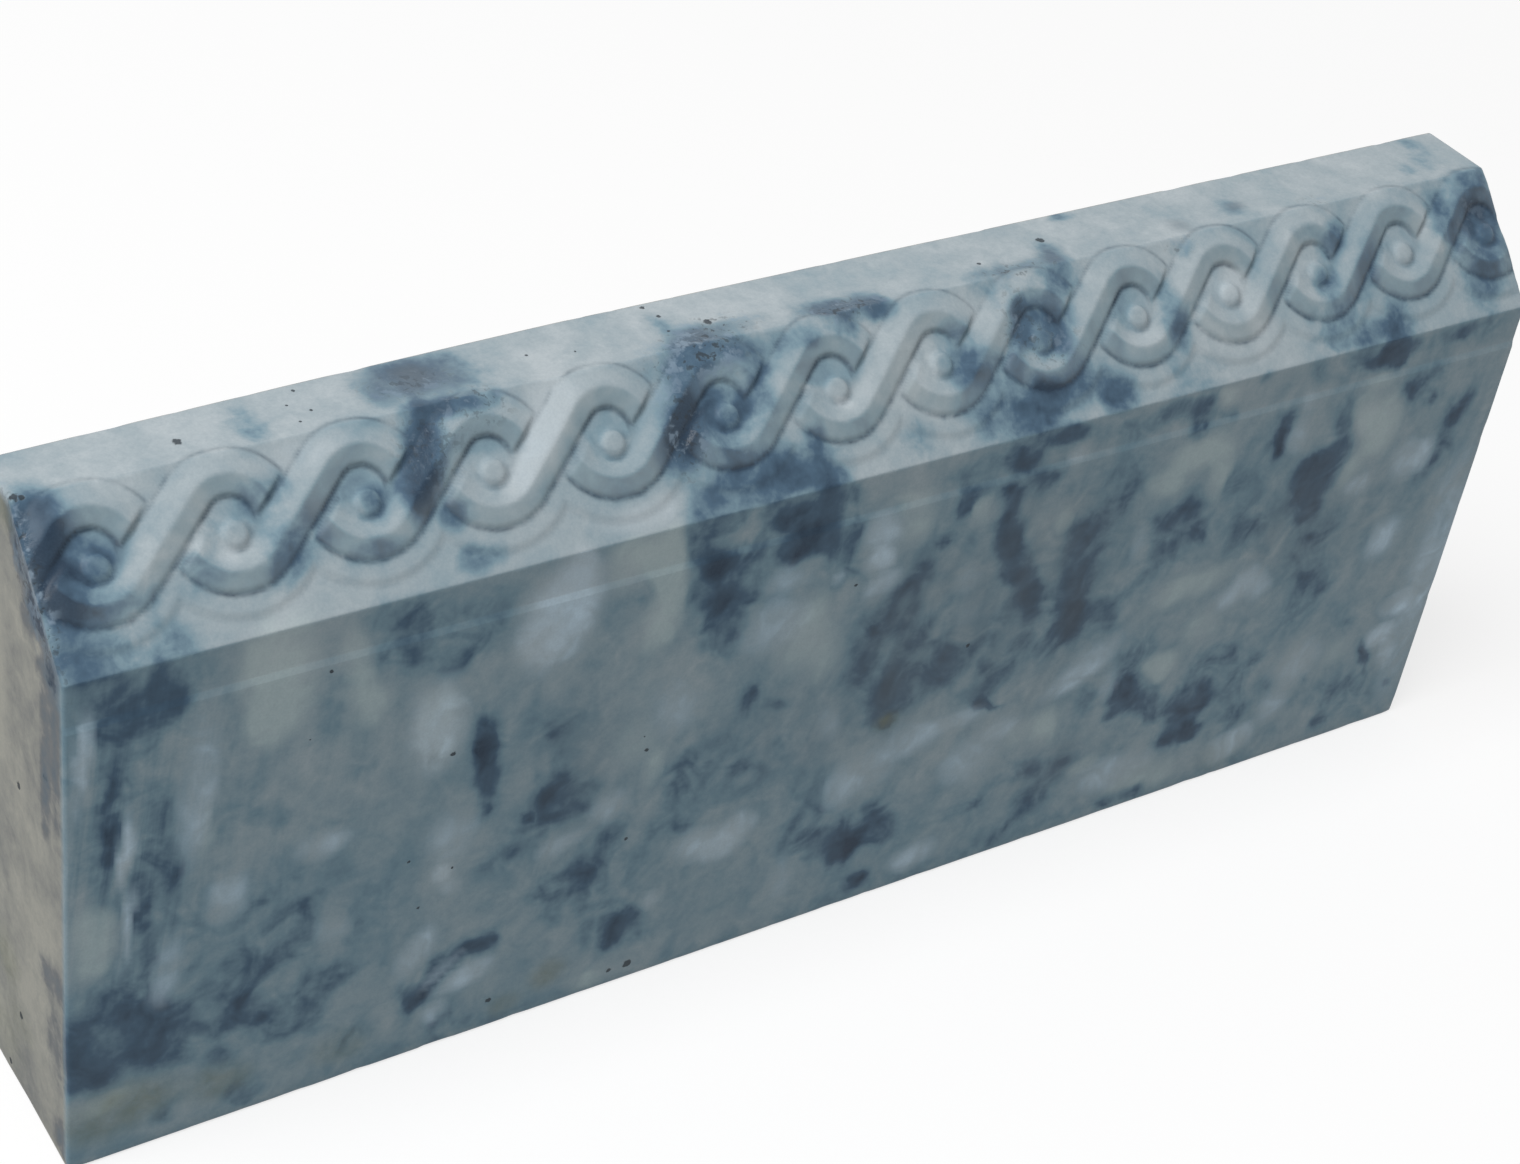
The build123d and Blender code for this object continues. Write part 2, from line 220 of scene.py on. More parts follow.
SLOPE_DUSK = [
    (115, -12, 15, 9, 0.65), (204, -4, 15, 4, 0.6), (244, -3, 13, 4, 0.6), (308, -2, 13, 3, 0.6),
    (324, -5, 5, 5, 0.6), (399, -8, 4, 3, 0.8), (374, -4, 4, 3, 0.6),
]
FRONT_DUSK = [
    (268, 70, 20, 34, 0.8), (312, 62, 26, 42, 0.8), (225, 90, 30, 20, 0.4), (425, 70, 30, 20, 0.5),
    (335, 140, 16, 10, 0.6), (150, 75, 16, 26, 0.4),
]
FRONT_MOSS = [
    (14, 153, 16, 9, 0.8), (44, 155, 9, 6, 0.7), (82, 158, 8, 6, 0.5), (150, 157, 5, 5, 0.7),
    (262, 98, 4.5, 3.5, 1.0), (136, 163, 5, 4, 0.6), (415, 162, 10, 6, 0.3),
]
# Pale marks of the left end; the first two are painted highlights, glints by its worn slope arris
END_PALE_MARKS_AND_GLINTS = [(37, 8, 4, 4, 1.0), (45, 31, 3, 3, 0.8), (51, 141, 2, 2, 0.6), (12, 60, 8, 30, 0.4)]
END_MOSS = [(17, 160, 8, 8, 0.7), (27, 176, 8, 6, 0.4), (14, 190, 12, 12, 0.35), (22, 6, 6, 5, 0.8)]

# Air holes, placed like the marks: across, down, radius
TOP_HOLES = [
    (47.3, -7.5, 1.2), (84, -18, 0.6), (79.5, -12.5, 0.4), (84.3, -8.2, 0.5), (79.5, -4.5, 0.4),
    (163, -8.5, 0.5), (192, -21.5, 0.7), (205.5, -8.5, 1.1), (299.5, -7.7, 0.6), (326, -12.5, 1.1),
    (149.5, -11.5, 0.4), (194, -16, 0.7), (192.5, -8.5, 0.5), (2, -0.3, 1.1), (3.2, 0.4, 0.8),
]
FRONT_HOLES = [
    (240, 38.5, 0.5), (174.5, 78.5, 0.7), (173, 73, 0.4), (99.5, 93.5, 0.5), (113.5, 101, 0.4),
    (103.5, 112.5, 0.6), (171.5, 111.5, 0.6), (178.5, 165, 1.1), (130, 160, 0.8), (172, 165, 0.7),
    (288.5, 75.5, 0.6), (67, 38.5, 0.3), (72, 17.5, 0.5), (110.3, 58.5, 0.8),
]
END_HOLES = [(28.5, 89.5, 1.0), (27, 175, 1.0), (18, 201, 0.9)]

# Where a mark is full and where it is gone, as shares of its half width and half height
MARK_FULL_SHARE = 0.3
MARK_GONE_SHARE = 1.6

# Swells that move the marks about, in millimetres: length across, length down, how far a mark is moved.
# The seed keeps them the same in every run.
WANDER_SWELLS = ((16, 26, 2.4), (5, 8, 1.2))
WANDER_SEED = 3

# How squarely a point has to face sideways, upwards, or up and forwards, to count as an end, as the top, or
# as the slope and the front
END_FACING = 0.5
TOP_FACING = 0.93
SHEET_FACING = 0.3

# Strength of the cool veil on the front, on the strip above its ledge and on the slope
FRONT_VEIL = 1
STRIP_VEIL = 0.75
SLOPE_VEIL = 0.2

# Rounding of the end arrises, as a share of the other arrises' rounding
END_ROUNDING_SHARE = 0.8

# How sharply the upper back arris bends into its sag
SAG_BOW = 1.4

# Dark lines of the weave, dirt and painted shade in its creases: half their widths, and how far the lower one
# lies past its strand's edge
LOWER_LINE = 1.0 * MM
UPPER_LINE = 0.9 * MM
MOAT_LINE = 1.1 * MM
BORDER_LINE = 0.9 * MM
LINE_SHIFT = 0.3 * MM

# Distances over which the weave's parts rise or fall
UPPER_LINE_RISE = (3 * MM, 9 * MM)
LOWER_DIP = (0.8 * MM, 3.2 * MM)
UPPER_DIP = (0.1 * MM, 2.0 * MM)
MOAT_RISE = (0, 1.0 * MM)
LOWER_HALF_FALL = (-4 * MM, 4 * MM)
BORDER_FALL = (-2.4 * MM, 0)
SLOPE_RISE = (-2.6 * MM, -1.2 * MM)
END_RISE = (0, 6 * MM)
SHADE_RISE = (-0.3 * MM, 0.9 * MM)
EYE_FALL = (16 * MM, 22 * MM)

# The strand's section: place from its upper edge, through its ridge at one half, to its lower edge, and
# share of the crown
STRAND_SECTION = [
    (0, 0), (0.03, 0.12), (0.08, 0.24), (0.2, 0.46), (0.45, 0.94), (0.5, 1), (0.55, 0.97), (0.75, 0.78),
    (0.91, 0.62), (0.96, 0.45), (1, 0),
]

# Studio: its white, and the way to the key lamp from the stone
WHITE = (1, 1, 1)
KEY_DIRECTION = Vector((-0.42, -0.1, 0.9))


def size(name, description, millimetres):
    """A length that a user may change, with its default in millimetres."""
    default = millimetres * MM
    return FloatProperty(name=name, description=description, default=default, unit="LENGTH", precision=4)


def tint(name, description, colour):
    """A linear colour that a user may change."""
    return FloatVectorProperty(
        name=name, description=description, default=colour, subtype="COLOR", min=0, max=1
    )


class KERB_PG_block(PropertyGroup):
    """The cast block and how finely its skin is divided"""

    slope_run: size("Slope run", "Depth of the sloping edge, front to back", 34)
    slope_drop: size("Slope drop", "Height of the sloping edge", 34)
    ledge_drop: size("Ledge drop", "Distance from the slope's foot down to the ledge", 13)
    ledge_depth: size("Ledge depth", "How far the front stands out under the ledge", 0.5)
    ledge_fall: size("Ledge fall", "Height over which the worn ledge falls away", 2.2)
    arris_radius: size("Arris radius", "Rounding of the block's arrises", 1.3)
    brow_radius: size("Brow radius", "Rounding of the arris between top and slope", 1.4)
    top_sink: size("Top sink", "How far the flat top lies below the loops that stand over it", 0.5)
    back_lean: size("Back lean", "How far the upper back arris runs forward along the whole kerb", 2.3)
    back_sag: size("Back sag", "How far it falls away besides, towards the left end", 4.8)
    sag_reach: size("Sag reach", "Length over which it falls away", 170)
    back_reach: size("Back reach", "Height over which the back leans forward to that arris", 60)
    seam_reach: size("Seam reach", "How far the fine skin of the slope runs on past its arrises", 4)
    fine_step: size("Fine step", "Row spacing of the skin on the slope", 0.74)
    front_step: size("Front step", "Row spacing of the skin on the front", 2.0)
    back_step: size("Back step", "Row spacing of the skin on hidden faces", 15)
    end_step: size("End step", "Spacing of the skin's points on the ends", 2.6)
    columns: IntProperty(name="Columns", description="Divisions along the kerb", default=252, min=10)
    fineness: IntProperty(name="Fineness", description="Slope columns for each column", default=3, min=1)


class KERB_PG_guilloche(PropertyGroup):
    """The woven band on the slope"""

    pitch: size("Pitch", "Distance from button to button", 36.55)
    first_button: size("First button", "Distance from the left end to the first button", 16.2)
    centre_drop: size("Centre drop", "Distance from the slope's upper edge down to the centre line", 18.65)
    strand_radius: size("Strand radius", "Radius of the strand's ridge round a button", 12.475)
    light_width: size("Light width", "Width of the strand's upper facet", 6.9)
    shade_width: size("Shade width", "Width of the strand's lower facet", 5.8)
    crown: size("Crown", "Height of the strand's ridge", 2.1)
    button_radius: size("Button radius", "Radius of the button in each eye", 4.3)
    button_crown: size("Button crown", "Height of a button", 1.6)
    button_drop: size("Button drop", "How far a button sits below the middle of its eye", 3.3)
    border_radius: size("Border radius", "Radius of the border's scallops", 25.2)
    border_height: size("Border height", "Height of the scalloped border", 0.6)
    wear: size("Wear", "Deepest wear along the arrises", 0.45)
    unevenness: size("Unevenness", "Deepest hollow of the cast faces", 0.25)


class KERB_PG_concrete(PropertyGroup):
    """The colours of the marbled concrete"""

    pale: tint("Pale", "The palest cement", (0.44, 0.49, 0.515))
    light: tint("Light", "Clean cast cement", (0.355, 0.415, 0.445))
    middle: tint("Middle", "Thin blue veil", (0.20, 0.295, 0.35))
    slate: tint("Slate", "Blue pigment", (0.072, 0.127, 0.188))
    # Also the colour of the weave's dark creases, partly dirt and partly painted shade
    dark: tint("Dark", "Heart of a blue stain", (0.021, 0.041, 0.07))
    warm: tint("Warm", "Sandy cement where little pigment ran", (0.54, 0.62, 0.61))
    dusk: tint("Dusk", "Dull mauve veil", (0.145, 0.182, 0.213))
    haze: tint("Haze", "Cool cast of the front", (0.91, 0.975, 1.0))
    gleam: tint("Gleam", "Bluish white where the polished front is palest", (0.66, 0.78, 0.88))
    # Painted highlight: pale blue glints on the pitted stone
    painted_glint: tint("Glint", "Pale blue where the pitted stone is rubbed", (0.27, 0.36, 0.45))
    moss: tint("Moss", "Greenish dirt", (0.19, 0.21, 0.145))
    bare: tint("Bare", "Unpolished cement of the ends, the back and the bed", (0.45, 0.445, 0.395))
    ash: tint("Ash", "Stained cement of the ends", (0.205, 0.215, 0.22))
    # Painted shade: the strands' lower facets, turned from the lamp, are mixed towards this grey
    shadow: tint("Shadow", "Worn grey of the strands' lower facets", (0.29, 0.33, 0.335))
    # Also paints the air holes nearly black, as dirt and painted shade in them, and the dark specks of the
    # pitted places
    grime_and_hole_shade: tint("Grime", "Dirt in creases and air holes", (0.03, 0.04, 0.05))


class KERB_PG_stage(PropertyGroup):
    """The studio"""

    floor: tint("Floor", "Colour of the studio floor", (0.36, 0.36, 0.36))
    floor_reach: size("Floor reach", "Half the width of the floor", 6000)
    clear_from: size("Clear from", "Distance at which the floor starts to fade to plain white", 500)
    clear_to: size("Clear to", "Distance at which the floor is plain white", 2000)
    clear: FloatProperty(
        name="Clear", description="Share of plain white in the floor by the stone", default=0.72,
        subtype="FACTOR", min=0, max=1,
    )
    key_size: size("Key size", "Width of the soft key lamp", 1600)
    key_distance: size("Key distance", "About how far the key lamp stands from the stone", 3000)
    key_power: FloatProperty(name="Key power", description="Power of the key lamp", default=66, unit="POWER")
    sky: FloatProperty(name="Sky", description="Strength of the even light all round", default=0.38, min=0)


class Wire:
    """A socket of a node tree. Python's operators on it add Math nodes."""

    def __init__(self, tree, socket=None):
        self.tree = tree
        self.socket = socket

    def node(self, kind, settings=None, sockets=None, output=0):
        """Add a node, apply its settings, feed its sockets and return one of its outputs."""
        made = self.tree.nodes.new(kind)
        for name, value in (settings or {}).items():
            if name == "stops":
                set_stops(made.color_ramp.elements, value)
            elif name == "curve":
                set_curve(made.mapping, value)
            else:
                setattr(made, name, value)
        for name, value in (sockets or {}).items():
            if isinstance(value, Wire):
                self.tree.links.new(value.socket, made.inputs[name])
            else:
                made.inputs[name].default_value = value
        return Wire(self.tree, made.outputs[output]) if made.outputs else made

    def math(self, operation, *values, clamp=False):
        """A Math node on these values."""
        settings = {"operation": operation, "use_clamp": clamp}
        return self.node("ShaderNodeMath", settings, dict(enumerate(values)))

    def __add__(self, other):
        return self.math("ADD", self, other)

    def __sub__(self, other):
        return self.math("SUBTRACT", self, other)

    def __rsub__(self, other):
        return self.math("SUBTRACT", other, self)

    def __mul__(self, other):
        return self.math("MULTIPLY", self, other)

    def __truediv__(self, other):
        return self.math("DIVIDE", self, other)

    def __neg__(self):
        return self.math("MULTIPLY", self, -1)

    def __abs__(self):
        return self.math("ABSOLUTE", self)

    def __gt__(self, other):
        return self.math("GREATER_THAN", self, other)

    def __lt__(self, other):
        return self.math("LESS_THAN", self, other)

    __radd__ = __add__
    __rmul__ = __mul__

    def most(self, other):
        """The larger of two values."""
        return self.math("MAXIMUM", self, other)

    def least(self, other):
        """The smaller of two values."""
        return self.math("MINIMUM", self, other)

    def clamped(self):
        """The value held between 0 and 1."""
        return self.math("ADD", self, 0, clamp=True)

    def rise(self, low, high):
        """0 below low, 1 above high and a smooth rise between them."""
        sockets = {"Value": self, "From Min": low, "From Max": high}
        return self.node("ShaderNodeMapRange", {"interpolation_type": "SMOOTHSTEP"}, sockets)


def set_stops(elements, stops):
    """Give a colour ramp these (place, colour) stops."""
    while len(elements) < len(stops):
        elements.new(1)
    for element, (place, colour) in zip(elements, stops):
        element.position = place
        element.color = (*colour, 1)


def set_curve(mapping, points):
    """Give a Float Curve these (place, height) points, joined by straight lines."""
    curve = mapping.curves[0]
    while len(curve.points) < len(points):
        curve.points.new(1, 1)
    for point, place in zip(curve.points, points):
        point.location = place
        point.handle_type = "VECTOR"
    mapping.update()


def turned(vector, angle):
    """A 2D vector turned by an angle."""
    return Matrix.Rotation(angle, 2) @ vector


def chain_rows(chain, steps):
    """Rows along an open chain of (place, rounding, arc steps, wear) corners, with each straight run divided.

    A row is its place, its outward direction and its share of the wear, on a rounded arris.
    """
    rows = []
    here = chain[0][0]
    for index, step in enumerate(steps):
        corner, radius, arc_steps, wear = chain[index + 1]
        along = (corner - here).normalized()
        outward = Vector((along.y, -along.x))
        turn = 0
        if index + 2 < len(chain):
            onward = (chain[index + 2][0] - corner).normalized()
            turn = math.atan2(along.x * onward.y - along.y * onward.x, along.dot(onward))
        stop = corner - along * radius * math.tan(abs(turn) / 2)
        count = max(1, round((stop - here).length / step))
        rows += [(here.lerp(stop, share / count), outward, 0) for share in range(count)]
        middle = stop - outward * math.copysign(radius, turn)
        for part in range(arc_steps):
            angle = turn * part / arc_steps
            rows.append((middle + turned(stop - middle, angle), turned(outward, angle), wear))
        here = middle + turned(stop - middle, turn)
    rows.append((here, outward, 0))
    return rows


class Block:
    """The block's main places, in metres, worked out from the frame and the block's sizes."""

    def __init__(self, sizes):
        self.left = KERB_LOW.x
        self.right = KERB_HIGH.x
        self.front = KERB_LOW.y
        self.back = KERB_HIGH.y
        self.bed = KERB_LOW.z
        self.crest = KERB_HIGH.z
        self.lip = self.front + sizes.ledge_depth
        self.slope_top = Vector((self.lip + sizes.slope_run, self.crest))
        self.slope_foot = Vector((self.lip, self.crest - sizes.slope_drop))
        self.up_slope = (self.slope_top - self.slope_foot).normalized()
        self.ledge = self.slope_foot.y - sizes.ledge_drop
        self.top = self.crest - sizes.top_sink


def section_chains(block, sizes):
    """The section's fine chain, over the slope, and its coarse chain, round the rest of the block."""
    lean = block.up_slope.x / block.up_slope.y
    brow = Vector((block.slope_top.x - sizes.top_sink * lean, block.top))
    back_seam = brow + Vector((sizes.seam_reach, 0))
    lip_seam = block.slope_foot - Vector((0, sizes.seam_reach))
    # Each corner is its place, its rounding, the steps of its arc and its share of the wear
    fine = [
        (back_seam, 0, 0, 0),
        (brow, sizes.brow_radius, 6, 0.7),
        (block.slope_foot, sizes.arris_radius, 3, 0.4),
        (lip_seam, 0, 0, 0),
    ]
    coarse = [
        (lip_seam, 0, 0, 0),
        (Vector((block.lip, block.ledge)), sizes.ledge_fall, 2, 0),
        (Vector((block.front, block.ledge - sizes.ledge_fall)), sizes.ledge_fall, 2, 0),
        (Vector((block.front, block.bed)), sizes.arris_radius, 3, 1),
        (Vector((block.back, block.bed)), sizes.arris_radius, 3, 1),
        (Vector((block.back, block.top)), sizes.arris_radius, 3, 1),
        (back_seam, 0, 0, 0),
    ]
    front, back = sizes.front_step, sizes.back_step
    fine_rows = chain_rows(fine, [sizes.fine_step] * 3)
    coarse_rows = chain_rows(coarse, [front, front, front, back, back, front])
    return fine_rows, coarse_rows[1:-1]


def stations(block, sizes, fineness):
    """Places along the kerb, each with the inset of its section, and which of them the columns meet."""
    radius = sizes.arris_radius * END_ROUNDING_SHARE
    ring_steps = 3
    rings = []
    for step in range(ring_steps, 0, -1):
        angle = math.pi / 2 * step / ring_steps
        rings.append((radius * (1 - math.sin(angle)), radius * (1 - math.cos(angle))))
    count = sizes.columns * fineness
    flat = np.linspace(block.left + radius, block.right - radius, count + 1)
    places = [(block.left + reach, inset) for reach, inset in rings]
    places += [(x, 0) for x in flat]
    places += [(block.right - reach, inset) for reach, inset in reversed(rings)]
    met = list(range(ring_steps))
    met += [ring_steps + fineness * column for column in range(sizes.columns + 1)]
    met += [ring_steps + count + 1 + step for step in range(ring_steps)]
    return places, met


def grid_points(rows, places):
    """The points of a grid of rows and stations, the way each faces and its share of the wear."""
    points = np.empty((len(rows), len(places), 3))
    facing = np.empty((len(rows), len(places), 3))
    arris = np.zeros((len(rows), len(places)))
    for index, (place, outward, wear) in enumerate(rows):
        for station, (x, inset) in enumerate(places):
            points[index, station] = (x, place.x - outward.x * inset, place.y - outward.y * inset)
            facing[index, station] = (0, outward.x, outward.y)
            arris[index, station] = 1 if inset else wear
    return points, facing, arris


class Skin:
    """The stone's closed skin while it is put together."""

    def __init__(self):
        self.points = []
        self.facing = []
        self.arris = []
        self.faces = []
        self.flat_from = 0
        self.total = 0

    def add(self, points, facing, arris):
        """Add points of any grid shape and return their numbers in the same shape."""
        shape = points.shape[:-1]
        numbers = np.arange(self.total, self.total + math.prod(shape)).reshape(shape)
        self.points.append(points.reshape(-1, 3))
        self.facing.append(facing.reshape(-1, 3))
        self.arris.append(arris.reshape(-1))
        self.total += math.prod(shape)
        return numbers

    def quads(self, numbers):
        """Faces between the neighbours of a grid of point numbers."""
        corners = (numbers[:-1, :-1], numbers[1:, :-1], numbers[1:, 1:], numbers[:-1, 1:])
        self.faces += np.stack(corners, -1).reshape(-1, 4).tolist()

    def end_cap(self, loop, side, step):
        """Close one end with a net of even triangles that keeps clear of its rim."""
        clearance = step * 0.6
        inside_only = 1
        nearness = 1e-7
        rim = np.concatenate(self.points)[loop]
        low, high = rim.min(0), rim.max(0)
        y, z = np.meshgrid(np.arange(low[1], high[1], step), np.arange(low[2], high[2], step))
        net = np.stack([np.full(y.size, rim[0, 0]), y.ravel(), z.ravel()], -1)
        onward = np.roll(rim, -1, 0) - rim
        length = np.hypot(onward[:, 1], onward[:, 2])
        offset = net[:, None] - rim
        inside = (offset[..., 2] * onward[:, 1] - offset[..., 1] * onward[:, 2]) / length
        net = net[(inside > clearance).all(1)]
        corners = [Vector((place[1], place[2])) for place in (*rim, *net)]
        edges = [(index, (index + 1) % len(rim)) for index in range(len(rim))]
        _, _, triangles, origins, *_ = delaunay_2d_cdt(corners, edges, [], inside_only, nearness)
        numbers = [*loop, *self.add(net, np.tile((side, 0, 0), (len(net), 1)), np.zeros(len(net)))]
        for triangle in triangles:
            self.faces.append([numbers[origins[corner][0]] for corner in triangle][::side])


def stone_skin(block, sizes):
    """The closed skin of the plain block, fine on the slope and coarser elsewhere."""
    skin = Skin()
    fine_rows, coarse_rows = section_chains(block, sizes)
    fine_places, met = stations(block, sizes, sizes.fineness)
    coarse_places, _ = stations(block, sizes, 1)
    fine = skin.add(*grid_points(fine_rows, fine_places))
    coarse = skin.add(*grid_points(coarse_rows, coarse_places))
    skin.quads(fine)
    skin.quads(coarse)
    for column in range(len(coarse_places) - 1):
        seam = slice(met[column], met[column + 1] + 1)
        upper = fine[0, seam].tolist()
        lower = fine[-1, seam].tolist()
        skin.faces.append([coarse[-1, column], *upper, coarse[-1, column + 1]])
        skin.faces.append([lower[0], coarse[0, column], coarse[0, column + 1], *lower[:0:-1]])
    skin.flat_from = len(skin.faces)
    skin.end_cap([*fine[:, 0], *coarse[:, 0]], -1, sizes.end_step)
    skin.end_cap([*fine[:, -1], *coarse[:, -1]], 1, sizes.end_step)
    return skin


def lean_back(points, block, sizes):
    """Move the upper back arris forward as the open side of the mould left it."""
    x, y, z = points.T
    along = (x - block.left) / (block.right - block.left)
    sag = np.clip(1 - (x - block.left) / sizes.sag_reach, 0, 1) ** SAG_BOW
    depth = np.clip((y - block.slope_top.x) / (block.back - block.slope_top.x), 0, 1)
    height = np.clip(1 - (block.top - z) / sizes.back_reach, 0, 1)
    points[:, 1] -= ((1 - along) * sizes.back_lean + sag * sizes.back_sag) * depth * height ** 2


def wandering(places):
    """Places in millimetres moved about by smooth noise, so that no mark keeps a plain outline."""
    noise.seed_set(WANDER_SEED)
    for across, down, reach in WANDER_SWELLS:
        moved = [noise.noise_vector(Vector((u / across, v / down, 0))) for u, v in places]
        places = places + np.array(moved)[:, :2] * reach
    return places


def mark_field(places, marks):
    """How strongly each place lies in the marks, from 0 to 1."""
    clear = np.ones(len(places))
    for across, down, half_width, half_height, strength, *lean in marks:
        turn = math.radians(lean[0]) if lean else 0
        offset = places - (across, down)
        along = offset[:, 0] * math.cos(turn) + offset[:, 1] * math.sin(turn)
        aside = offset[:, 1] * math.cos(turn) - offset[:, 0] * math.sin(turn)
        reach = np.hypot(along / half_width, aside / half_height)
        share = np.clip((MARK_GONE_SHARE - reach) / (MARK_GONE_SHARE - MARK_FULL_SHARE), 0, 1)
        clear *= 1 - strength * share * share * (3 - 2 * share)
    return 1 - clear


def lowered(marks, drop):
    """Marks moved down by a distance in millimetres."""
    return [(across, down + drop, *rest) for across, down, *rest in marks]


def mark_layers(block, points, facing):
    """How strongly each kind of mark, the bare cement and the veil lie on every point of the skin.

    The top, the slope and the front are one sheet, unrolled downwards from the slope's upper edge.
    """
    x, y, z = points.T
    slope_length = (block.slope_top - block.slope_foot).length
    down_slope = (block.slope_top.x - y) * block.up_slope.x + (block.slope_top.y - z) * block.up_slope.y
    on_end = np.abs(facing[:, 0]) > END_FACING
    on_top = facing[:, 2] > TOP_FACING
    on_slope = (facing[:, 2] > SHEET_FACING) & (facing[:, 1] < 0) & ~on_top
    down = np.where(on_slope, down_slope, slope_length + block.slope_foot.y - z)
    down = np.where(on_top, block.slope_top.x - y, down)
    on_sheet = ~on_end & (on_top | (facing[:, 1] < -SHEET_FACING))
    on_left = on_end & (facing[:, 0] < 0)

    drop = slope_length / MM
    on_stone = {
        "stain": (SLOPE_STAINS + lowered(FRONT_STAINS, drop), END_STAINS),
        "light": (SLOPE_LIGHTS + lowered(FRONT_LIGHTS, drop), END_PALE_MARKS_AND_GLINTS),
        "sand": (lowered(FRONT_SAND, drop), []),
        "dusk": (SLOPE_DUSK + lowered(FRONT_DUSK, drop), []),
        "moss": (lowered(FRONT_MOSS, drop), END_MOSS),
        "brushed": (lowered(FRONT_BRUSHED, drop), []),
        "pitted": (SLOPE_PITTED, END_PITTED),
    }
    sheet = wandering(np.stack([x - block.left, down], -1)[on_sheet] / MM)
    end = wandering(np.stack([block.back - y, block.crest - z], -1)[on_left] / MM)
    layers = {"bare": np.where(on_sheet, 0, 1)}
    for name, (sheet_marks, end_marks) in on_stone.items():
        layers[name] = np.zeros(len(points))
        layers[name][on_sheet] = mark_field(sheet, sheet_marks)
        layers[name][on_left] = mark_field(end, end_marks)
    on_front = on_sheet & ~on_slope & ~on_top
    on_strip = on_front & (z > block.ledge)
    layers["veil"] = np.select([on_strip, on_front, on_slope], [STRIP_VEIL, FRONT_VEIL, SLOPE_VEIL], 0)
    return layers


def set_layers(mesh, layers):
    """Keep each layer on the mesh as a value on its points."""
    for name, values in layers.items():
        layer = mesh.attributes.new(name, "FLOAT", "POINT")
        layer.data.foreach_set("value", values.astype(np.float32))


GUILLOCHE_INPUTS = (
    "Left End", "Right End", "Slope Top Y", "Slope Top Z", "Slope Cosine", "Slope Sine", "Crest", "Pitch",
    "First Button", "Centre Drop", "Strand Radius", "Light Width", "Shade Width", "Crown", "Button Radius",
    "Button Crown", "Button Drop", "Border Radius", "Border Height", "Wear", "Unevenness",
)


